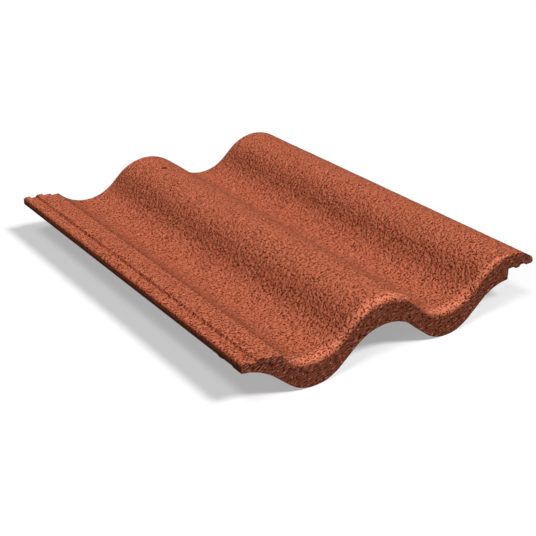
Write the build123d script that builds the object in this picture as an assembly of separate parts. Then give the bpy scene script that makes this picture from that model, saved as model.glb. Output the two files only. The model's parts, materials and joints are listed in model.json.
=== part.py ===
from build123d import *
import math
import os

# Concrete interlocking roof tile with two rolls, lying on its foot bar and hanging nibs.
# X runs across the roof, from the water lap on the left to the cover lap on the right.
# Y runs up the slope, from the rounded foot to the head. Z is up, with the floor at zero.
# Driving dimensions, in millimetres and degrees.
LENGTH = 420.0              # foot edge to head edge
ROLL_PITCH = 150.0          # crest to crest
ROLL_COUNT = 2              # the rolls of one tile make its cover width
ROLL_RISE = 34.2            # crest above trough on the upper face
TROUGH_RADIUS = 47.0        # upper face in the troughs
FLANK_LENGTH = 11.5         # straight slope between a trough arc and a crest arc
BODY_THICKNESS = 12.5       # concrete between the upper face and the underside

# Water lap on the left edge, with ribs that the next tile's cover lap hooks over.
LAP_HEIGHT = 18.9           # top of the lap ribs above the trough
LIP_THICKNESS = 8.0         # outer edge of the water lap
LIP_RIB = 7.0               # flat top of the outer rib
LAP_GROOVE = 4.5            # floor of the drain groove
LAP_RIB = 5.5               # flat top of the inner rib
LAP_TREAD = 7.7             # each of the two treads that step down to the trough
LAP_STEP = 2.0              # height of a rib or step, and run of its 45 degree wall
LAP_CLEARANCE = 0.7         # between this lap and the cover lap of the next tile
LAP_ROOT_RADIUS = 25.0      # hollow under the lap where it grows out of the body
LIP_EDGE_RADIUS = 1.2       # worn corners of the lip
COVER_RIB = 8.5             # outer rib of the cover lap, over the first tread
COVER_EDGE_RADIUS = 4.0     # rounded upper edge of the cover lap

# Foot: rounded upper edge, and bars underneath that close the joint to the tile below.
NOSE_RUN = 12.0             # quarter ellipse that rounds the upper edge, along the slope
NOSE_DROP = 7.0             # the same ellipse, downwards
NOSE_EDGE = 0.1             # it stands past both faces by this, so it meets them at a slight edge
NOSE_FADE_RADIUS = 70.0     # arc on which the rounding rises out of the last roll, wider than its crest
FOOT_DEPTH = 26.6           # upper face to the end of the foot bar, in a trough
FOOT_TROUGH_RADIUS = 41.0   # rounder than the trough of the tile below, so it seats in it
FOOT_FLANK_LENGTH = 21.0    # straight slope of the foot bar's underside
FOOT_ROLL_GAP = 1.0         # the foot bar clears the crests of the tile below
FOOT_BAR = 13.0             # width of the bar at the foot face
SECOND_BAR = 8.0            # width of the bar behind it
BAR_GAP = 14.0              # drip channel between the ends of the two bars
BAR_DRAFT = 12.0            # slope of the bars' sides, so that they leave the mould
BAR_EDGE_RADIUS = 2.0
SECOND_BAR_RAISE = 3.0      # the second bar stays clear of the tile below

# Hanging nibs under the head, one in each trough, and the nail hole on the first crest.
NIB_WIDTH = 36.0            # across the slope, at the end of the nib
NIB_TIP = 13.0              # along the slope, at the end of the nib
NIB_SIDE_DRAFT = 10.0
NIB_BACK_DRAFT = 25.0
NIB_INSET = 26.0            # upright batten face of the nib to the head edge
NAIL_DIAMETER = 6.0
NAIL_INSET = 43.0           # nail hole to the head edge

CUT_MARGIN = 2.0            # cutting tools reach this far past the concrete

# Levels and places worked out from the driving dimensions.
# A section's x starts at the outer edge of the lip, and its second value is the height z.
COVER_WIDTH = ROLL_COUNT * ROLL_PITCH
HALF_PITCH = ROLL_PITCH / 2
TROUGH_TOP = FOOT_DEPTH
CREST_TOP = TROUGH_TOP + ROLL_RISE
LAP_TOP = TROUGH_TOP + LAP_HEIGHT
LIP_BOTTOM = LAP_TOP - LIP_THICKNESS
FOOT_Y = -LENGTH / 2
HEAD_Y = LENGTH / 2


def lap_points(flats, raise_by):
    """Top line of the water lap, left to right, from flats of given width and steps down."""
    points = []
    x = 0.0
    for width, steps_down in flats:
        z = LAP_TOP + raise_by - steps_down * LAP_STEP
        points += [(x, z), (x + width, z)]
        x += width + LAP_STEP
    return points


# The cover lap hooks over the two ribs and the groove, and ends on the first tread.
HOOKED_FLATS = [(LIP_RIB, 0), (LAP_GROOVE, 1), (LAP_RIB, 0)]
WATER_LAP = lap_points(HOOKED_FLATS + [(LAP_TREAD, 1), (LAP_TREAD, 2)], 0)
COVER_LAP = lap_points(HOOKED_FLATS + [(COVER_RIB, 1)], LAP_CLEARANCE)
LAP_END_X, LAP_END_Z = WATER_LAP[-1]
WIDTH = COVER_WIDTH + COVER_LAP[-1][0]
INNER_WALL = COVER_WIDTH - LAP_CLEARANCE


def left_of_trough(radius, centre_z, z):
    """How far left of a trough its arc reaches the height z."""
    return math.sqrt(radius**2 - (centre_z - z) ** 2)


FIRST_TROUGH = LAP_END_X + left_of_trough(TROUGH_RADIUS, TROUGH_TOP + TROUGH_RADIUS, LAP_END_Z)
TROUGHS = [FIRST_TROUGH + roll * ROLL_PITCH for roll in range(ROLL_COUNT)]
CRESTS = [trough + HALF_PITCH for trough in TROUGHS]


class Rolls:
    """A line of rolls: trough arcs and crest arcs joined by straight flanks, all tangent."""

    def __init__(self, trough_z, rise, trough_radius, flank_length):
        both_radii = (HALF_PITCH**2 + rise**2 - flank_length**2) / (2 * rise)
        self.trough_radius = trough_radius
        self.trough_centre = trough_z + trough_radius
        self.crest_radius = both_radii - trough_radius
        self.crest_centre = trough_z + rise - self.crest_radius
        self.angle = math.atan2(HALF_PITCH, both_radii - rise) - math.atan2(flank_length, both_radii)

    def line(self, x_from, x_to):
        """Edges from a place on the first trough arc to a place on the last crest arc."""
        edges = []
        for trough, crest in zip(TROUGHS, CRESTS):
            trough_end = trough + self.trough_radius * math.sin(self.angle)
            crest_start = crest - self.crest_radius * math.sin(self.angle)
            crest_end = 2 * crest - crest_start if crest != CRESTS[-1] else x_to
            if edges:
                x_from = trough - self.trough_radius * math.sin(self.angle)
                edges.append(Line(edges[-1] @ 1, self.trough_point(trough, x_from)))
            edges.append(arc_through(self.trough_point, trough, x_from, trough_end))
            edges.append(Line(edges[-1] @ 1, self.crest_point(crest, crest_start)))
            edges.append(arc_through(self.crest_point, crest, crest_start, crest_end))
        return edges

    def trough_point(self, trough, x):
        return (x, self.trough_centre - math.sqrt(self.trough_radius**2 - (x - trough) ** 2))

    def crest_point(self, crest, x):
        return (x, self.crest_centre + math.sqrt(self.crest_radius**2 - (x - crest) ** 2))


def arc_through(point_at, centre_x, x_from, x_to):
    """Arc of a trough or crest between two places."""
    return ThreePointArc(*[point_at(centre_x, x) for x in (x_from, (x_from + x_to) / 2, x_to)])


UPPER_FACE = Rolls(TROUGH_TOP, ROLL_RISE, TROUGH_RADIUS, FLANK_LENGTH)
UNDERSIDE = Rolls(
    TROUGH_TOP - BODY_THICKNESS, ROLL_RISE, TROUGH_RADIUS + BODY_THICKNESS, FLANK_LENGTH
)
UPPER_LINE = [Polyline(*WATER_LAP)] + UPPER_FACE.line(LAP_END_X, WIDTH)
COVER_EDGE_TOP = UPPER_LINE[-1] @ 1


def soften(face, corner, radius):
    """Round the corner of a section that lies at a given point."""
    return fillet(face.vertices().sort_by_distance(corner)[0], radius)


def body_section():
    """Section of the tile between its foot bars and its head."""
    ribs = [(COVER_WIDTH + x, z) for x, z in COVER_LAP]
    ribs[0] = (INNER_WALL, ribs[0][1])
    root_x = FIRST_TROUGH - left_of_trough(UNDERSIDE.trough_radius, UNDERSIDE.trough_centre, LIP_BOTTOM)
    under_line = UNDERSIDE.line(root_x, INNER_WALL)
    lip = Polyline((root_x, LIP_BOTTOM), (0, LIP_BOTTOM), WATER_LAP[0])
    cover_lap = Polyline(COVER_EDGE_TOP, *reversed(ribs), under_line[-1] @ 1)
    face = make_face(UPPER_LINE + [cover_lap] + under_line + [lip])
    face = soften(face, COVER_EDGE_TOP, COVER_EDGE_RADIUS)
    face = soften(face, (root_x, LIP_BOTTOM), LAP_ROOT_RADIUS)
    for corner in (WATER_LAP[0], (0, LIP_BOTTOM), ribs[-1]):
        face = soften(face, corner, LIP_EDGE_RADIUS)
    return face


def along_slope(face):
    """Extrude a section from the foot edge to the head edge."""
    plane = Plane((-WIDTH / 2, FOOT_Y, 0), x_dir=(1, 0, 0), z_dir=(0, -1, 0))
    return extrude(plane * face, amount=LENGTH, dir=(0, 1, 0))


def space_under_tile():
    """Everything between the upper face and the floor, which trims what is cast underneath."""
    fall = Polyline(COVER_EDGE_TOP, (WIDTH, 0), (0, 0), WATER_LAP[0])
    return along_slope(make_face(UPPER_LINE + [fall]))


def carried_along(line, profile):
    """Carry a profile of y and z along a line of the section, without turning it."""
    place = Plane((-WIDTH / 2, FOOT_Y, 0), x_dir=(1, 0, 0), z_dir=(0, -1, 0))
    path = place * Wire(line)
    start = Plane(path @ 0, x_dir=(0, 1, 0), z_dir=(1, 0, 0))
    return sweep(start * profile, path=path, normal=(1, 0, 0))


def foot_bar(from_foot, width, raise_by, front_draft):
    """Bar under the foot, whose end repeats the rolls of the tile below."""
    rolls = Rolls(raise_by, ROLL_RISE + FOOT_ROLL_GAP, FOOT_TROUGH_RADIUS, FOOT_FLANK_LENGTH)
    trough_start = FIRST_TROUGH - FOOT_TROUGH_RADIUS * math.sin(rolls.angle)
    under_line = rolls.line(trough_start, INNER_WALL)
    uphill = Vector(-math.cos(rolls.angle), math.sin(rolls.angle))
    flank_top = under_line[0] @ 0 + FOOT_FLANK_LENGTH * uphill
    to_lip = TangentArc(flank_top, (0, LIP_BOTTOM), tangent=uphill)
    lip_line = ThreePointArc(to_lip @ 1, to_lip @ 0.5, to_lip @ 0)
    height = FOOT_DEPTH - raise_by
    front_run = height * math.tan(math.radians(front_draft))
    back_run = height * math.tan(math.radians(BAR_DRAFT))
    profile = make_face(Polyline(
        (from_foot, 0),
        (from_foot + width, 0),
        (from_foot + width + back_run, height),
        (from_foot - front_run, height),
        close=True,
    ))
    profile = soften(profile, (from_foot + width, 0), BAR_EDGE_RADIUS)
    if front_draft:
        profile = soften(profile, (from_foot, 0), BAR_EDGE_RADIUS)
    return carried_along([lip_line, Line(flank_top, under_line[0] @ 0)] + under_line, profile)


def nose_cut():
    """Tool that rounds the upper foot edge, from the water lap to the last roll, where it fades out."""
    rounding = EllipticalCenterArc(
        (NOSE_RUN, -NOSE_DROP), NOSE_RUN + NOSE_EDGE, NOSE_DROP + NOSE_EDGE, start_angle=90, arc_size=90
    )
    outside = Polyline(
        rounding @ 1,
        (-CUT_MARGIN, -NOSE_DROP),
        (-CUT_MARGIN, CUT_MARGIN),
        (NOSE_RUN, CUT_MARGIN),
        rounding @ 0,
    )
    line = UPPER_FACE.line(LAP_END_X, WIDTH)
    last_crest = line.pop()
    fade = JernArc(
        last_crest @ 0, last_crest % 0, NOSE_FADE_RADIUS, arc_size=-2 * math.degrees(UPPER_FACE.angle)
    )
    return carried_along(line + [fade], make_face([rounding, outside]))


def nib(trough):
    """Tapered lug under a trough, with an upright face that hooks over the batten."""
    half_tip = NIB_WIDTH / 2
    half_root = half_tip + TROUGH_TOP * math.tan(math.radians(NIB_SIDE_DRAFT))
    root = NIB_TIP + TROUGH_TOP * math.tan(math.radians(NIB_BACK_DRAFT))
    from_foot = make_face(Polyline(
        (-half_tip, 0), (half_tip, 0), (half_root, TROUGH_TOP), (-half_root, TROUGH_TOP), close=True
    ))
    from_side = make_face(Polyline((0, 0), (NIB_TIP, 0), (root, TROUGH_TOP), (0, TROUGH_TOP), close=True))
    along = extrude(Plane.XZ * from_foot, amount=root, dir=(0, 1, 0))
    across = extrude(Plane.YZ * from_side, amount=half_root, both=True)
    return Pos(trough - WIDTH / 2, HEAD_Y - NIB_INSET, 0) * (along & across)


def roof_tile():
    """The whole casting as one solid."""
    tile = along_slope(body_section())
    under_tile = space_under_tile()
    second_place = FOOT_BAR + BAR_GAP
    for cast_under in (
        foot_bar(0, FOOT_BAR, 0, 0),
        foot_bar(second_place, SECOND_BAR, SECOND_BAR_RAISE, BAR_DRAFT),
        *[nib(trough) for trough in TROUGHS],
    ):
        tile += cast_under & under_tile
    tile -= nose_cut()
    nail_place = Pos(CRESTS[0] - WIDTH / 2, HEAD_Y - NAIL_INSET, CREST_TOP)
    return tile - nail_place * Cylinder(NAIL_DIAMETER / 2, 2 * (BODY_THICKNESS + CUT_MARGIN))


os.makedirs("parts", exist_ok=True)
export_step(roof_tile(), "parts/roof_tile.step")
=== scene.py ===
# %% [markdown]
# # A concrete roof tile
# The tile is one casting. Damp concrete is pressed on a steel pallet, a roller shapes its
# upper face, a knife cuts it to length, and it is coated with red slurry and cured. The CAD
# model holds its true section, bars, nibs and nail hole. This lesson gives it what the sand,
# the knife and the coat leave on the real one, and then a plain studio.

# %% Load the frame
import json
import math

import bmesh
import bpy
import numpy as np
from mathutils import Matrix, Vector, noise
from mathutils.bvhtree import BVHTree


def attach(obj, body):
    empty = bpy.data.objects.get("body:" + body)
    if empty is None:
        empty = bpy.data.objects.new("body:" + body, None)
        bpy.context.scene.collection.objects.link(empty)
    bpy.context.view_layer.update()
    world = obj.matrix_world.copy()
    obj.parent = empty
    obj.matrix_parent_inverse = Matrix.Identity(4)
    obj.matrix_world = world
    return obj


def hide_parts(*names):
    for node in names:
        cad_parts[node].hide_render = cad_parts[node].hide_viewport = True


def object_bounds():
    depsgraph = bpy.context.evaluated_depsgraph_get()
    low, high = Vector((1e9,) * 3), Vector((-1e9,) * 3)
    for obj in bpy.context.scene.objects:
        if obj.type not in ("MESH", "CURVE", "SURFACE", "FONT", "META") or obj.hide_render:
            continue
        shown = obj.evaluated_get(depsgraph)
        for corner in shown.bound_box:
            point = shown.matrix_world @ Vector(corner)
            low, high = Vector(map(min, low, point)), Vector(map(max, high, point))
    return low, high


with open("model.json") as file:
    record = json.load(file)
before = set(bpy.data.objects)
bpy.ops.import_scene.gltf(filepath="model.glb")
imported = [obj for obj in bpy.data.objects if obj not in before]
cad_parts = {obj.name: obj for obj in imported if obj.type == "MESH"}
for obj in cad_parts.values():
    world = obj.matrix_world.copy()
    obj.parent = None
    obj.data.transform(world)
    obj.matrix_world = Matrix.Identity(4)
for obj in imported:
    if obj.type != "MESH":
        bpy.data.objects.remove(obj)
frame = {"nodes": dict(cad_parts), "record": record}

MM = 0.001
cad_low, cad_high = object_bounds()
foot_y, head_y = cad_low.y, cad_high.y
print("CAD box in mm:", [round(side / MM, 1) for side in cad_high - cad_low])

# %% [markdown]
# ## The section
# The tile has the same section along nearly its whole length, and its head face shows it.
# The CAD mesh could be subdivided, but it is made of long slivers, and its round stretches are
# flat facets. Its corners lie on the true arcs, though, so they are read from the edges of both
# end faces. A ray beside each corner tells whether it lies on the upper face or underneath.

# %% Read the edges of the end faces
HAIR = 0.02 * MM                  # a step to one side of a corner
WELD = HAIR / 10                  # corners of neighbouring facets are at most this far apart
SAME_PLACE = 0.25 * MM            # a corner and the surface beside it count as one place
CORNER_DECIMALS = 7               # in metres: corners that agree to this are one

solid = bmesh.new()
solid.from_mesh(frame["nodes"]["roof_tile"].data)
bmesh.ops.remove_doubles(solid, verts=solid.verts, dist=WELD)
surface = BVHTree.FromBMesh(solid)


def surface_height(x, y, from_above):
    """Height of the CAD surface that a ray meets first, from above or from below."""
    start = cad_high.z + MM if from_above else cad_low.z - MM
    way = -1 if from_above else 1
    place = surface.ray_cast(Vector((x, y, start)), Vector((0, 0, way)))[0]
    return place.z if place else math.inf


def end_corners(end_y, from_above):
    """Corners on the upper or lower edge of an end face, from left to right."""
    inside_y = end_y - math.copysign(HAIR, end_y)
    at_end = [v.co for v in solid.verts if abs(v.co.y - end_y) < HAIR]
    corners = {(round(co.x, CORNER_DECIMALS), round(co.z, CORNER_DECIMALS)) for co in at_end}
    line = []
    for x, z in corners:
        sides = [side for side in (-HAIR, HAIR)
                 if abs(surface_height(x + side, inside_y, from_above) - z) < SAME_PLACE]
        if sides:
            line.append((x + sum(sides), z))
    return np.array(sorted(line)).T


head_upper = end_corners(head_y, from_above=True)
head_under = end_corners(head_y, from_above=False)
foot_upper = end_corners(foot_y, from_above=True)
foot_under = end_corners(foot_y, from_above=False)
print("corners along the head's edges:", head_upper.shape[1], "and", head_under.shape[1])
print("corners along the foot's edges:", foot_upper.shape[1], "and", foot_under.shape[1])

# %% [markdown]
# ## Smooth lines through the corners
# The rolls of the real tile are smooth, and its lap ribs are crisp. A Subdivision Surface
# modifier would round both alike. So a curve is put through each row of corners: every span is a
# cubic that takes its slopes from its neighbours, and a turn too sharp for an arc stays sharp.

# %% Smooth lines
SHARP_TURN = math.radians(13)     # the facets of an arc turn less than this


class SmoothLine:
    """Heights along a line of points, rounded where its turns are slight."""

    def __init__(self, points):
        self.x, self.z = points
        self.run = np.diff(self.x)
        slope = np.diff(self.z) / self.run
        before, after = slope[:-1], slope[1:]
        through = (before * self.run[1:] + after * self.run[:-1]) / (self.run[:-1] + self.run[1:])
        sharp = np.abs(np.arctan(after) - np.arctan(before)) > SHARP_TURN
        self.leaving = np.append(slope[0], np.where(sharp, after, through))
        self.arriving = np.append(np.where(sharp, before, through), slope[-1])
        self.corners = self.x[1:-1][sharp]

    def height(self, x):
        """Height of the rounded line, by Hermite's cubic over each span."""
        span = np.clip(np.searchsorted(self.x, x) - 1, 0, len(self.run) - 1)
        run = self.run[span]
        t = (x - self.x[span]) / run
        from_left = (1 + 2 * t) * self.z[span] + t * run * self.leaving[span]
        from_right = (3 - 2 * t) * self.z[span + 1] - (1 - t) * run * self.arriving[span]
        return (1 - t) ** 2 * from_left + t**2 * from_right

    def rounding(self, x):
        """How far the rounded line lies above the facets."""
        return self.height(x) - np.interp(x, self.x, self.z)


upper_line = SmoothLine(head_upper)
under_line = SmoothLine(head_under)
nose_edge = SmoothLine(foot_upper)
foot_line = SmoothLine(foot_under)
for name, line in (("upper", upper_line), ("under", under_line), ("nose", nose_edge), ("foot", foot_line)):
    print(f"{name} line: {len(line.corners)} sharp corners, rounded by up to "
          f"{np.abs(line.rounding((line.x[1:] + line.x[:-1]) / 2)).max() / MM:.2f} mm")

# %% [markdown]
# ## The rounded foot
# The upper edge of the foot is pressed round. The rounding has one shape from the water lap to
# the last roll, so rays along a trough are enough to measure it, and nothing is typed in twice.

# %% Measure the rounded foot
EVEN = 0.002 * MM                 # a drop smaller than this is none
FOOT_ZONE = 46 * MM               # rounded edge and both bars lie this close to the foot
RAY_STEP = 0.1 * MM
NOSE_STATIONS = 12
CROWDING = 1.7                    # stations crowd towards the foot, where the rounding turns most
PLACES_ACROSS = 3000              # tried in search of the lowest trough

across = np.linspace(cad_low.x + HAIR, cad_high.x - HAIR, PLACES_ACROSS)
trough_x = across[np.argmin(upper_line.height(across))]


def trough_drop(from_foot):
    """How far the trough lies below its full height, at distances from the foot."""
    heights = [surface_height(trough_x, foot_y + HAIR + distance, True) for distance in from_foot]
    return surface_height(trough_x, 0, True) - np.array(heights)


ray_places = np.arange(0, FOOT_ZONE, RAY_STEP)
nose_run = ray_places[np.argmax(trough_drop(ray_places) < EVEN)]
stations = nose_run * np.linspace(0, 1, NOSE_STATIONS) ** CROWDING
nose_line = SmoothLine((stations, trough_drop(stations)))
nose_depth = nose_line.z[0]
print(f"rounded foot: {nose_run / MM:.1f} mm long and {nose_depth / MM:.1f} mm deep")

# %% [markdown]
# ## Heights of the two faces
# The upper face is the section, lowered at its foot by the rounding. On the last roll the rounding
# rises out of the concrete and fades, and the upper edge of the foot face tells how far.
# Underneath, rays find the bars and nibs, and the smooth lines take the facets out of the rolls.

# %% Height functions


def top_height(x, y):
    """Upper face of the tile."""
    section = upper_line.height(x)
    risen = np.clip(nose_depth - (section - nose_edge.height(x)), 0, nose_depth)
    drop = nose_line.height(np.minimum(y - foot_y, nose_run)) - risen
    return section - np.maximum(drop, 0)


def under_height(x, y):
    """Underside of the tile, with its bars and nibs."""
    inside_y = np.clip(y, foot_y + HAIR, head_y - HAIR)
    z = np.array([surface_height(a, b, False) for a, b in zip(x.flat, inside_y.flat)]).reshape(x.shape)
    body = np.interp(x, under_line.x, under_line.z)
    foot = np.interp(x, foot_line.x, foot_line.z)
    z = np.where(np.isfinite(z), z, body)      # a ray up the nail hole meets nothing
    on_bar = np.clip((body - z) / np.maximum(body - foot, HAIR), 0, 1)
    z += on_bar * foot_line.rounding(x) + (1 - on_bar) * under_line.rounding(x)
    return np.maximum(z, 0)


middle = (np.array([trough_x]), np.array([0.0]))
trough_thickness = (top_height(*middle) - under_height(*middle))[0]
print(f"a trough is {trough_thickness / MM:.1f} mm thick halfway along the tile")

# %% [markdown]
# ## A fine mesh over the casting
# Grains of sand one or two millimetres across show in the picture, so the upper face gets a
# grid about that fine. Its columns run through every corner of the section, so the lap ribs stay
# crisp. Its rows are closest at the rounded foot, and a pair of them stands at an upright face of
# the nibs. The underside shares the columns and has fewer rows: the pallet leaves it smooth.

# %% Place the columns
GRAIN_STEP = 1.7 * MM
STRETCH_POINTS = 50               # measure how long a stretch of the section is

section_corners = np.unique(np.concatenate([
    across[[0, -1]], upper_line.corners, under_line.corners, foot_line.corners, nose_edge.corners
]))
columns = section_corners[:1]
for left, right in zip(section_corners, section_corners[1:]):
    along = np.linspace(left, right, STRETCH_POINTS)
    length = np.hypot(np.diff(along), np.diff(upper_line.height(along))).sum()
    count = max(1, round(length / GRAIN_STEP))
    columns = np.append(columns, np.linspace(left, right, count + 1)[1:])
print(f"{len(columns)} columns through {len(section_corners)} corners of the section")

# %% Place the rows
FOOT_STEP = 1.0 * MM
NIB_ZONE = 32 * MM                # nibs lie this close to the head
UPRIGHT = 3 * MM                  # the underside jumps by more than this at an upright face
UNDER_EVERY = 5                   # rows of the upper face to one below, between bars and nibs


def evenly(start, end, step):
    """Places from start up to end, about a step apart."""
    return np.linspace(start, end, max(1, round((end - start) / step)), endpoint=False)


nose_middle, field_start, nib_start = foot_y + nose_run / 2, foot_y + FOOT_ZONE, head_y - NIB_ZONE
nib_ys = np.arange(nib_start, head_y, HAIR)
nib_zs = np.array([surface_height(trough_x, y, False) for y in nib_ys])
uprights = nib_ys[np.flatnonzero(np.abs(np.diff(nib_zs)) > UPRIGHT)]
foot_rows = np.append(
    evenly(foot_y, nose_middle, FOOT_STEP / 2), evenly(nose_middle, field_start, FOOT_STEP))
field_rows = evenly(field_start, nib_start, GRAIN_STEP)
nib_rows = np.sort(np.concatenate([
    evenly(nib_start, head_y, GRAIN_STEP), uprights, uprights + HAIR, [head_y]
]))
rows = np.concatenate([foot_rows, field_rows, nib_rows])
first_field, first_nib = len(foot_rows), len(foot_rows) + len(field_rows)
under_rows = np.concatenate([
    np.arange(first_field),
    np.arange(first_field, first_nib, UNDER_EVERY),
    np.arange(first_nib, len(rows)),
])
print(f"{len(rows)} rows above and {len(under_rows)} below; upright faces on a nib: {len(uprights)}")

# %% [markdown]
# ## From points to faces
# A regular grid would show as a weave once light grazes it. Remeshing would break it up but lose
# the edges, so the free points are only shaken a little, and those on edges stay. Then the two
# grids are joined: rows of points fill the end faces, and strips close the two long sides.

# %% Shake the free points
SHAKE = 0.3                       # of the way to the nearer neighbour
shaker = np.random.default_rng(7)


def shaken(places, fixed, shape, axis):
    """A grid of places, each moved a little unless it is fixed."""
    gaps = np.diff(places)
    reach = SHAKE * np.append(0, np.append(np.minimum(gaps[:-1], gaps[1:]), 0))
    reach[np.isin(places, fixed)] = 0
    if axis == 0:
        places, reach = places[:, None], reach[:, None]
    return places + reach * shaker.uniform(-1, 1, shape)


grid = (len(rows), len(columns))
top_x = shaken(columns, section_corners, grid, axis=1)
top_y = shaken(rows, nib_rows, grid, axis=0)
top_y[:, [0, -1]] = rows[:, None]
under_x, under_y = np.meshgrid(columns, rows[under_rows])
print(f"points shaken by up to {np.abs(top_x - columns).max() / MM:.2f} mm")

# %% Join the points
FOOT_LEVELS, HEAD_LEVELS = 11, 5  # rows of faces down the foot face and the head face
blocks = []


def keep(x, y, z):
    """Add a grid of points to the mesh and return their numbers."""
    start = sum(len(block) for block in blocks)
    blocks.append(np.stack([x, y, z], axis=-1).reshape(-1, 3))
    return start + np.arange(x.size).reshape(x.shape)


def quads(numbers):
    """Four-sided faces between neighbouring numbers of a grid."""
    corners = [numbers[:-1, :-1], numbers[:-1, 1:], numbers[1:, 1:], numbers[1:, :-1]]
    return np.stack(corners, axis=-1).reshape(-1, 4).tolist()


def end_face(end, levels):
    """Numbers of the points on an end face, from its lower edge to its upper edge."""
    kept = np.concatenate(blocks)
    low, high = kept[under[end]], kept[top[end]]
    share = np.linspace(0, 1, levels + 1)[1:-1, None, None]
    inner = keep(*np.moveaxis(low + share * (high - low), -1, 0))
    return np.vstack([under[end], inner, top[end]])


top = keep(top_x, top_y, top_height(top_x, top_y))
under = keep(under_x, under_y, under_height(under_x, under_y))
foot_face = end_face(0, FOOT_LEVELS)
head_face = end_face(-1, HEAD_LEVELS)
faces = quads(top) + quads(under[::-1]) + quads(foot_face) + quads(head_face[::-1])
for side, turn in ((0, -1), (-1, 1)):
    for k, (first, last) in enumerate(zip(under_rows, under_rows[1:])):
        loop = [under[k, side], under[k + 1, side], *top[first : last + 1, side][::-1]]
        if first == 0:
            loop += list(foot_face[1:-1, side][::-1])
        if last == under_rows[-1]:
            loop[2:2] = list(head_face[1:-1, side])
        faces.append(loop[::turn])

points = np.concatenate(blocks)
mesh = bpy.data.meshes.new("tile_casting")
mesh.from_pydata(points.tolist(), [], faces)
mesh.update()
print(f"{len(points)} points and {len(faces)} faces, {sum(len(face) - 2 for face in faces)} triangles")

# %% [markdown]
# ## Relief
# Sand makes the rolled face granular, with a pit where a grain pulled out, and the roller leaves
# it slightly uneven. The knife tears the foot face in slanting strokes. A Displace modifier could
# do one of these, but each belongs to faces that look one way, so the points are moved
# along their normals by noise of a real size. What is finer than the grid is left to the material.

# %% Move the points along their normals
EDGE_ZONE, EDGE_SHARE = 4 * MM, 0.25        # the pressed foot edge keeps only a share of the relief
GRAIN_SIZE, GRAIN_DEPTH = 3.2 * MM, 0.16 * MM
LUMP_SIZE, LUMP_DEPTH = 14 * MM, 0.16 * MM
WAVE_SIZE, WAVE_DEPTH = 70 * MM, 0.2 * MM
PIT_SPACING, PIT_RADIUS, PIT_DEPTH = 7.5 * MM, 1.9 * MM, 0.5 * MM
STROKE_SLANT = math.radians(20)
STROKE_LENGTH, STROKE_WIDTH, STROKE_DEPTH = 7 * MM, 2.6 * MM, 0.22 * MM


def ripple(places, size):
    """Smooth random heights from about -1 to 1, which rise and fall over a size."""
    return np.array([noise.noise(Vector(place)) for place in places / size])


normals = np.array([vertex.normal for vertex in mesh.vertices])
rolled = np.clip(normals[:, 2], 0, 1) * np.clip((points[:, 1] - foot_y) / EDGE_ZONE, EDGE_SHARE, 1)
torn = np.clip(-normals[:, 1], 0, 1) ** 2
nearest_pit = np.array([noise.voronoi(Vector(place))[0][0] for place in points / PIT_SPACING])
pits = np.clip(1 - nearest_pit * PIT_SPACING / PIT_RADIUS, 0, 1)
slant = np.array(Matrix.Rotation(-STROKE_SLANT, 3, "Y"))
strokes = ripple(points @ slant, np.array([STROKE_LENGTH, STROKE_WIDTH, STROKE_WIDTH]))
relief = rolled * (
    GRAIN_DEPTH * ripple(points, GRAIN_SIZE)
    + LUMP_DEPTH * ripple(points, LUMP_SIZE)
    + WAVE_DEPTH * ripple(points, WAVE_SIZE)
    - PIT_DEPTH * pits
) + torn * STROKE_DEPTH * strokes
points += relief[:, None] * normals
points[:, 2] = np.maximum(points[:, 2], 0)
mesh.vertices.foreach_set("co", points.ravel())
mesh.update()
print(f"relief from {relief.min() / MM:.2f} to {relief.max() / MM:.2f} mm")

# %% [markdown]
# ## The nail hole
# A pin in the mould leaves one round hole through the first crest. Its place and radius come
# from the record's mount, and a Boolean modifier drills it through both faces at once, which
# is simpler than fitting the grid around it. The drill is twice as long as the hole, so that it
# comes out of both faces.

# %% Drill the hole
DRILL_SIDES = 40

nail_hole = next(mount for mount in frame["record"]["mounts"] if mount["name"] == "nail_hole")
drill_radius = nail_hole["dims"]["r_mm"] * MM
drill_length = 2 * nail_hole["dims"]["length_mm"] * MM
drill_shape = bmesh.new()
bmesh.ops.create_cone(
    drill_shape, cap_ends=True, segments=DRILL_SIDES, radius1=drill_radius, radius2=drill_radius,
    depth=drill_length, matrix=Matrix.Translation(nail_hole["pos_m"]),
)
drill_mesh = bpy.data.meshes.new("drill")
drill_shape.to_mesh(drill_mesh)
drill = bpy.data.objects.new("drill", drill_mesh)
blank = bpy.data.objects.new("blank", mesh)
for part in (drill, blank):
    bpy.context.scene.collection.objects.link(part)
drilling = blank.modifiers.new("nail_hole", "BOOLEAN")
drilling.operation = "DIFFERENCE"
drilling.solver = "EXACT"
drilling.object = drill
drilled = blank.evaluated_get(bpy.context.evaluated_depsgraph_get())
casting = bpy.data.objects.new("tile_casting", bpy.data.meshes.new_from_object(drilled))
bpy.context.scene.collection.objects.link(casting)
for part in (drill, blank):
    bpy.data.objects.remove(part)
print(f"nail hole: {2 * drill_radius / MM:.1f} mm wide, at", [round(v / MM, 1) for v in nail_hole["pos_m"]])

# %% [markdown]
# ## Edges and place
# The rolls are smooth, and the lap ribs and cut ends have crisp edges. Smooth shading alone would
# smear the light over the ribs. Edges could be marked one by one, but an angle finds them all.
# The casting then takes the place of the CAD solid.

# %% Shade the casting and give it its place
EDGE_ANGLE = math.radians(40)     # steeper turns than this are shaded as edges

casting.data.polygons.foreach_set("use_smooth", [True] * len(casting.data.polygons))
casting.data.set_sharp_from_angle(angle=EDGE_ANGLE)
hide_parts("roof_tile")
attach(casting, "root")
triangles = sum(len(polygon.vertices) - 2 for polygon in casting.data.polygons)
print(f"casting: {len(casting.data.vertices)} points, {triangles} triangles")

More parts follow.
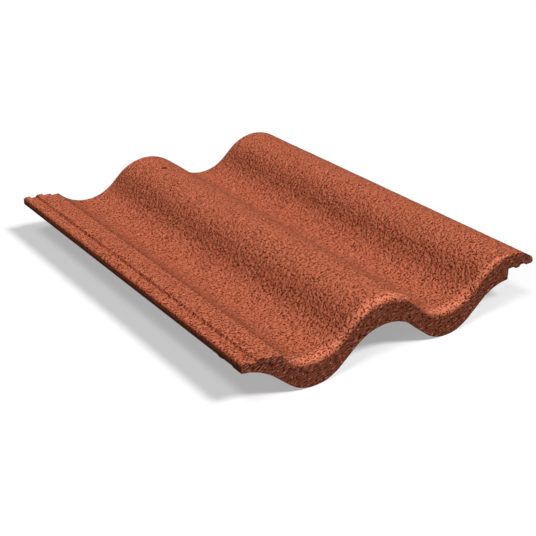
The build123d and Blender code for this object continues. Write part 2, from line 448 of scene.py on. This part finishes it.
# %% [markdown]
# ## Pigmented concrete
# The mix is coloured right through with iron oxide, and the rolled face also carries a coat of
# finer red slurry. Cut ends show the bare mix, torn by the knife, and moulded faces show it smooth.
# All of it is matt. An image texture would need a photo of a tile and would smear on the upright
# faces; noise of real sizes needs neither, and a face's direction tells how it was made.

# %% Helpers for colours and nodes
MIX_A, MIX_B = 6, 7               # colour sockets of a Mix node
VALUE_A, VALUE_B = 2, 3           # and its sockets for numbers


def to_linear(hex_colour):
    """Linear red, green, blue and alpha of an sRGB hex colour."""
    levels = [int(hex_colour[i : i + 2], 16) / 255 for i in (1, 3, 5)]
    return [v / 12.92 if v <= 0.04045 else ((v + 0.055) / 1.055) ** 2.4 for v in levels] + [1]


def add(tree, kind, inputs, **settings):
    """Add a shader node, set it up and link or fill its inputs.

    A node that is given as an input stands for its first output in use.
    """
    node = tree.nodes.new("ShaderNode" + kind)
    for name, value in settings.items():
        setattr(node, name, value)
    for socket, value in inputs.items():
        if isinstance(value, bpy.types.Node):
            value = next(output for output in value.outputs if output.enabled)
        if isinstance(value, bpy.types.NodeSocket):
            tree.links.new(value, node.inputs[socket])
        else:
            node.inputs[socket].default_value = value
    return node


def new_material(name):
    """A material and its empty node tree."""
    material = bpy.data.materials.new(name)
    material.use_nodes = True
    material.node_tree.nodes.clear()
    return material, material.node_tree


print("the middle grey of a screen in linear light:", round(to_linear("#808080")[0], 3))

# %% [markdown]
# ### Sand and lumps
# The slurry bridges the sand in soft lumps a few millimetres across, and leaves small crevices
# between them. Voronoi cells would give crevices too, but in a net that never breaks. Two noises
# in object space look more like the real coat: the coarser one is the lumps, and where the finer
# one is low there is a crevice.

# %% Noise of sand and lumps
GRAIN = 1.6 * MM                  # most sand is finer, but is drawn this coarse so that it shows
PATCH = 3.2 * MM                  # a soft lump of slurry
CREVICE_TOP, CREVICE_FLOOR = 0.45, 0.27     # noise where a crevice begins and where it is deepest

concrete, tree = new_material("pigmented_concrete")
where = add(tree, "TexCoord", {}).outputs["Object"]
normal = add(tree, "NewGeometry", {}).outputs["Normal"]
position = add(tree, "SeparateXYZ", {0: where}).outputs
facing = add(tree, "SeparateXYZ", {0: normal}).outputs
grain = add(tree, "TexNoise", {"Vector": where, "Scale": 1 / GRAIN, "Detail": 0.0})
patch = add(tree, "TexNoise", {"Vector": where, "Scale": 1 / PATCH, "Detail": 1.0})
crevice = add(tree, "MapRange", {
    "Value": grain, "From Min": CREVICE_TOP, "From Max": CREVICE_FLOOR,
}, interpolation_type="SMOOTHSTEP")
print(f"noise for sand every {GRAIN / MM:.1f} mm, and for lumps every {PATCH / MM:.1f} mm")

# %% [markdown]
# ### Colours of the coat and of a torn end
# The coat's tone varies with the sand. It is painted darker down in a crevice or pit, as painted shade,
# and paler on the highest grains, as a painted sheen. A cut end is a calm brown, in which the knife
# drags out grains in short slanting strokes; its hollows are painted dark as painted shade and its
# ridges pale as painted highlights. A Color Ramp turns each noise into such colours, and the steps
# of both are lists, to be read at a glance.

# %% Two colour ramps
# The two darkest coat colours are painted shade in the low places of the sand, and the lightest is partly a
# painted sheen; on a cut end the darkest is painted shade and the lightest a painted highlight.
PIT_SHADE, CREVICE_SHADE, COAT_DARK, COAT_LIGHT_AND_SHEEN = "#5A200E", "#A84828", "#C26648", "#CD7456"
HOLLOW_SHADE, BARE, RIDGE_HIGHLIGHT = "#34140A", "#80422E", "#CC8268"
COAT_STEPS = ((0.22, PIT_SHADE), (0.33, CREVICE_SHADE), (0.42, COAT_DARK), (0.65, COAT_LIGHT_AND_SHEEN))
TORN_STEPS = ((0.27, HOLLOW_SHADE), (0.4, BARE), (0.62, BARE), (0.74, RIDGE_HIGHLIGHT))
TORN_LENGTH, TORN_WIDTH = 4.8 * MM, 0.85 * MM

slanted = add(tree, "Mapping", {
    "Vector": where, "Rotation": (0, -STROKE_SLANT, 0), "Scale": (TORN_LENGTH, TORN_WIDTH, TORN_WIDTH),
}, vector_type="TEXTURE")
torn_noise = add(tree, "TexNoise", {"Vector": slanted, "Scale": 1.0, "Detail": 0.0})
coat = add(tree, "ValToRGB", {"Fac": grain})
torn_end = add(tree, "ValToRGB", {"Fac": torn_noise})
for ramp, steps in ((coat.color_ramp, COAT_STEPS), (torn_end.color_ramp, TORN_STEPS)):
    ramp.elements.remove(ramp.elements[0])
    for level, paint in steps:
        ramp.elements.new(level).color = to_linear(paint)
    ramp.elements.remove(ramp.elements[-1])     # a ramp is never empty, so this one goes last
    print("ramp with steps at", [round(element.position, 2) for element in ramp.elements])

# %% [markdown]
# ### Painted highlight and painted shade on the coat
# The coat is painted paler in blotches over the rounded foot, as a painted highlight. It is painted darker
# on the slopes, most on those that face right, and along both edges of the water lap, as painted shade.
# This could be painted on the points of the mesh, but a face's direction and its distance from an edge say
# as much, and are as fine as the picture.

# %% Colour of the coat
# A painted highlight over the rounded foot, in blotches.
NOSE_HIGHLIGHT = "#EA8A69"
PAINTED_SHADE_TINT = "#C6C4C2"               # painted shade: what it does to the colour, by multiplying
FOOT_LEAN, LEAN_RANGE = 0.45, 0.1           # the painted highlight is full where the normal leans towards the foot by about this
CREVICE_HOLDS = 0.4               # a crevice holds back this much of a blotch of painted highlight
BLOTCH_EDGE, BLOTCH_FULL = 0.3, 0.6
SLOPE_SHADE, RIGHT_SLOPE_SHADE = 1.35, 0.15         # painted shade on slopes, more on those that face right
# Place of each edge of the lap, and the half width, reach and amount of painted shade there.
LIP_EDGE = (cad_low.x, 0.4 * MM, 2.8 * MM, 1.0)
ROLL_EDGE = (upper_line.corners.max() + 2.8 * MM, 3.2 * MM, 5.2 * MM, 0.7)

lean = add(tree, "Math", {0: facing["Y"], 1: FOOT_LEAN}, operation="ADD")
off_lean = add(tree, "Math", {0: lean}, operation="ABSOLUTE")
footward = add(tree, "MapRange", {"Value": off_lean, "From Min": FOOT_LEAN, "From Max": LEAN_RANGE})
filled = add(tree, "Math", {0: crevice, 1: -CREVICE_HOLDS, 2: patch}, operation="MULTIPLY_ADD")
blotch = add(tree, "MapRange", {"Value": filled, "From Min": BLOTCH_EDGE, "From Max": BLOTCH_FULL})
# Painted highlight: pale blotches on faces that lean towards the foot.
thick = add(tree, "Math", {0: footward, 1: blotch}, operation="MULTIPLY")
highlighted_coat = add(tree, "Mix", {0: thick, MIX_A: coat, MIX_B: to_linear(NOSE_HIGHLIGHT)}, data_type="RGBA")

# Painted shade: darker on slopes, most on those that face right, and along both edges of the water lap.
slope = add(tree, "Math", {0: facing["X"], 1: SLOPE_SHADE, 2: RIGHT_SLOPE_SHADE}, operation="MULTIPLY_ADD")
painted_shade = add(tree, "Math", {0: slope, 1: facing["X"]}, operation="MULTIPLY", use_clamp=True)
for edge_x, half_width, reach, edge_shade_amount in (LIP_EDGE, ROLL_EDGE):
    aside = add(tree, "Math", {0: position["X"], 1: edge_x}, operation="SUBTRACT")
    distance = add(tree, "Math", {0: aside}, operation="ABSOLUTE")
    painted_edge_shade = add(tree, "MapRange", {
        "Value": distance, "From Min": reach, "From Max": half_width, "To Max": edge_shade_amount})
    painted_shade = add(tree, "Math", {0: painted_shade, 1: painted_edge_shade}, operation="MAXIMUM")
coat_colour = add(tree, "Mix", {
    0: painted_shade, MIX_A: highlighted_coat, MIX_B: to_linear(PAINTED_SHADE_TINT),
}, data_type="RGBA", blend_type="MULTIPLY")
print("thin lines along x in mm:", [round(edge[0] / MM, 1) for edge in (LIP_EDGE, ROLL_EDGE)])

# %% [markdown]
# ### The bare mix
# The knife tears only the ends. Faces that lay against the mould are smooth. The ends and the side of
# the lip are dark, partly as the bare mix and partly as painted shade, and the side of the lip is darker
# towards its lower edge and redder towards its top. Several materials could be assigned by face, but they
# would meet in hard lines, so the squares of the normal's parts mix them instead.

# %% Colour of the bare mix
# The dark bare colours are partly the bare mix and partly painted shade.
SIDE, SIDE_TOP = "#4C2A1D", "#7E3B25"
DARK_SIDE_UP_TO, RED_SIDE_FROM = 40.8 * MM, 42.4 * MM   # below the first height the side has its darker colour, and above the second its redder one
CREVICE_SHADE_TINT = "#70625A"                # painted shade in a crevice: what it does to the colour, by multiplying

cut = add(tree, "Math", {0: facing["Y"], 1: facing["Y"]}, operation="MULTIPLY")
sideways = add(tree, "Math", {0: facing["X"], 1: facing["X"]}, operation="MULTIPLY")
# Blend from the darker lower side of the lip to its redder top.
run = add(tree, "MapRange", {"Value": position["Z"], "From Min": DARK_SIDE_UP_TO, "From Max": RED_SIDE_FROM})
lip_side = add(tree, "Mix", {0: run, MIX_A: to_linear(SIDE), MIX_B: to_linear(SIDE_TOP)}, data_type="RGBA")
ends = add(tree, "Mix", {0: cut, MIX_A: to_linear(BARE), MIX_B: torn_end}, data_type="RGBA")
uncoated = add(tree, "Mix", {0: sideways, MIX_A: ends, MIX_B: lip_side}, data_type="RGBA")
bare_colour = add(tree, "Mix", {
    0: crevice, MIX_A: uncoated, MIX_B: to_linear(CREVICE_SHADE_TINT),
}, data_type="RGBA", blend_type="MULTIPLY")
# The fade printed here is the blend from the darker lower side of the lip to its redder top.
print(f"slurry on the side of the lip fades out over {(RED_SIDE_FROM - DARK_SIDE_UP_TO) / MM:.1f} mm")

# %% [markdown]
# ### Border, relief and gloss
# The coat ends in a ragged border where the tile turns down from its rolled face. Lumps, crevices
# and torn strokes are finer than the mesh, so a Bump node shades them. Cured concrete scatters
# light almost evenly: its roughness is near 1, and its specular level is far below a plastic's.

# %% Concrete
RAGGED = 0.4                      # how far the lumps shift the border, from the lowest to the highest
BARE_UP, COATED_UP = 0.2, 0.85    # upward part of the normal where the coat ends and where it is full
CREVICE_DEPTH = 0.5 * MM
PATCH_RELIEF, TORN_RELIEF = 4.0 * MM, 1.6 * MM        # if noise filled 0 to 1; it keeps near the middle

ragged = add(tree, "Math", {0: patch, 1: RAGGED, 2: -RAGGED / 2}, operation="MULTIPLY_ADD")
upward = add(tree, "Math", {0: facing["Z"], 1: ragged}, operation="ADD")
coated = add(tree, "MapRange", {
    "Value": upward, "From Min": BARE_UP, "From Max": COATED_UP}, interpolation_type="SMOOTHSTEP")
colour = add(tree, "Mix", {0: coated, MIX_A: bare_colour, MIX_B: coat_colour}, data_type="RGBA")
lumps = add(tree, "Math", {0: patch, 1: PATCH_RELIEF}, operation="MULTIPLY")
coat_height = add(tree, "Math", {0: crevice, 1: -CREVICE_DEPTH, 2: lumps}, operation="MULTIPLY_ADD")
torn_depth = add(tree, "Math", {0: cut, 1: TORN_RELIEF}, operation="MULTIPLY")
torn_height = add(tree, "Math", {0: torn_noise, 1: torn_depth}, operation="MULTIPLY")
height = add(tree, "Mix", {0: coated, VALUE_A: torn_height, VALUE_B: coat_height}, data_type="FLOAT")
bump = add(tree, "Bump", {"Strength": 1.0, "Distance": 1.0, "Height": height})
shader = add(tree, "BsdfPrincipled", {
    "Base Color": colour, "Normal": bump, "Roughness": 0.95, "Specular IOR Level": 0.05})
add(tree, "OutputMaterial", {"Surface": shader})
casting.data.materials.clear()
casting.data.materials.append(concrete)
print("pigmented concrete:", len(tree.nodes), "nodes")

# %% [markdown]
# ## Floor and backdrop
# The tile lies on seamless white, and its shadow stays on the floor. More light would whiten grey
# paper, but it would bleach the tile too. So the paper also glows a little to the camera, which
# lifts it to white and keeps its shadows pale. For bounced light it is a grey card, so that it does
# not light the tile from below. The backdrop is white to the camera and dim otherwise.

# %% Paper floor
FLOOR_HALF = 6.0                  # metres from its middle to an edge
PAPER, CARD = "#D4D4D4", "#8C8C8C"
PAPER_GLOW = 0.355
WHITE = (1, 1, 1, 1)


def seen_directly(tree):
    """1 where the camera sees a surface, also in a mirror or through glass, and 0 for bounced light."""
    path = add(tree, "LightPath", {}).outputs
    mirrored = add(tree, "Math", {0: path["Is Camera Ray"], 1: path["Is Glossy Ray"]}, operation="MAXIMUM")
    return add(tree, "Math", {0: mirrored, 1: path["Is Transmission Ray"]}, operation="MAXIMUM")


floor_corners = [(x * FLOOR_HALF, y * FLOOR_HALF, 0) for x, y in ((-1, -1), (1, -1), (1, 1), (-1, 1))]
floor_mesh = bpy.data.meshes.new("studio_floor")
floor_mesh.from_pydata(floor_corners, [], [(0, 1, 2, 3)])
floor = bpy.data.objects.new("studio_floor", floor_mesh)
bpy.context.scene.collection.objects.link(floor)
paper, tree = new_material("seamless_paper")
lit = add(tree, "BsdfDiffuse", {"Color": to_linear(PAPER)})
glow = add(tree, "Emission", {"Color": WHITE, "Strength": PAPER_GLOW})
shown = add(tree, "AddShader", {0: lit, 1: glow})
card = add(tree, "BsdfDiffuse", {"Color": to_linear(CARD)})
either = add(tree, "MixShader", {0: seen_directly(tree), 1: card, 2: shown})
add(tree, "OutputMaterial", {"Surface": either})
paper.cycles.emission_sampling = "NONE"
floor.data.materials.append(paper)
print(f"paper floor, {2 * FLOOR_HALF:.0f} m wide, with a glow of {PAPER_GLOW} to the camera")

# %% Backdrop
AMBIENT = 0.04

world = bpy.data.worlds.new("white_cove")
world.use_nodes = True
world.node_tree.nodes.clear()
tree = world.node_tree
strength = add(tree, "MapRange", {"Value": seen_directly(tree), "To Min": AMBIENT, "To Max": 1.0})
backdrop = add(tree, "Background", {"Color": WHITE, "Strength": strength})
add(tree, "OutputWorld", {"Surface": backdrop})
bpy.context.scene.world = world
print("backdrop is white to the camera, with ambient light", AMBIENT)

# %% [markdown]
# ## Lamps
# The picture has one soft shadow to the left of the tile and a fainter one to its right. Two wide
# suns in front give both, and a low sun at the left shows the side of the lip. Area lamps would
# fall off along the tile, but a sun lights all of it alike, and its width sets how soft its
# shadow is.

# %% Three suns
# Each lamp: how far it stands to the right and to the back for its height, its light on a
# surface that faces it, and how many degrees wide it looks.
LAMPS = {
    "key_sun": ((0.236, -0.73, 1.0), 0.84, 13),
    "fill_sun": ((-0.44, -0.297, 1.0), 0.27, 16),
    "side_sun": ((-0.9, -0.2, 0.4), 0.16, 30),
}
for name, (toward, light, width) in LAMPS.items():
    lamp = bpy.data.lights.new(name, "SUN")
    lamp.energy = light * math.pi
    lamp.angle = math.radians(width)
    stand = bpy.data.objects.new(name, lamp)
    stand.rotation_euler = Vector(toward).to_track_quat("Z", "Y").to_euler()
    bpy.context.scene.collection.objects.link(stand)
print("lamps:", ", ".join(LAMPS))

# %% [markdown]
# ## Camera
# The camera stands at the left front, and its place and lens follow from where the tile's long
# edges and its rolls fall in the picture. It could be aimed with a Track To constraint, but three
# turns, one after another, also give the slight roll.

# %% Camera
CAMERA_PLACE = (-561.05 * MM, -804.78 * MM, 479.98 * MM)
CAMERA_AZIMUTH, CAMERA_ELEVATION, CAMERA_ROLL = -35.256, 26.077, 0.229      # degrees
LENS, SENSOR = 71.28, 36.0        # millimetres, the units of Blender's cameras

camera_data = bpy.data.cameras.new("camera")
camera_data.lens = LENS
camera_data.sensor_width = SENSOR
camera = bpy.data.objects.new("camera", camera_data)
camera.matrix_world = (
    Matrix.Translation(CAMERA_PLACE)
    @ Matrix.Rotation(math.radians(CAMERA_AZIMUTH), 4, "Z")
    @ Matrix.Rotation(math.radians(90 - CAMERA_ELEVATION), 4, "X")
    @ Matrix.Rotation(math.radians(CAMERA_ROLL), 4, "Z")
)
bpy.context.scene.collection.objects.link(camera)
bpy.context.scene.camera = camera
bpy.context.scene.view_settings.view_transform = "Standard"
print(f"camera {Vector(CAMERA_PLACE).length:.2f} m from the middle of the floor, with a {LENS} mm lens")
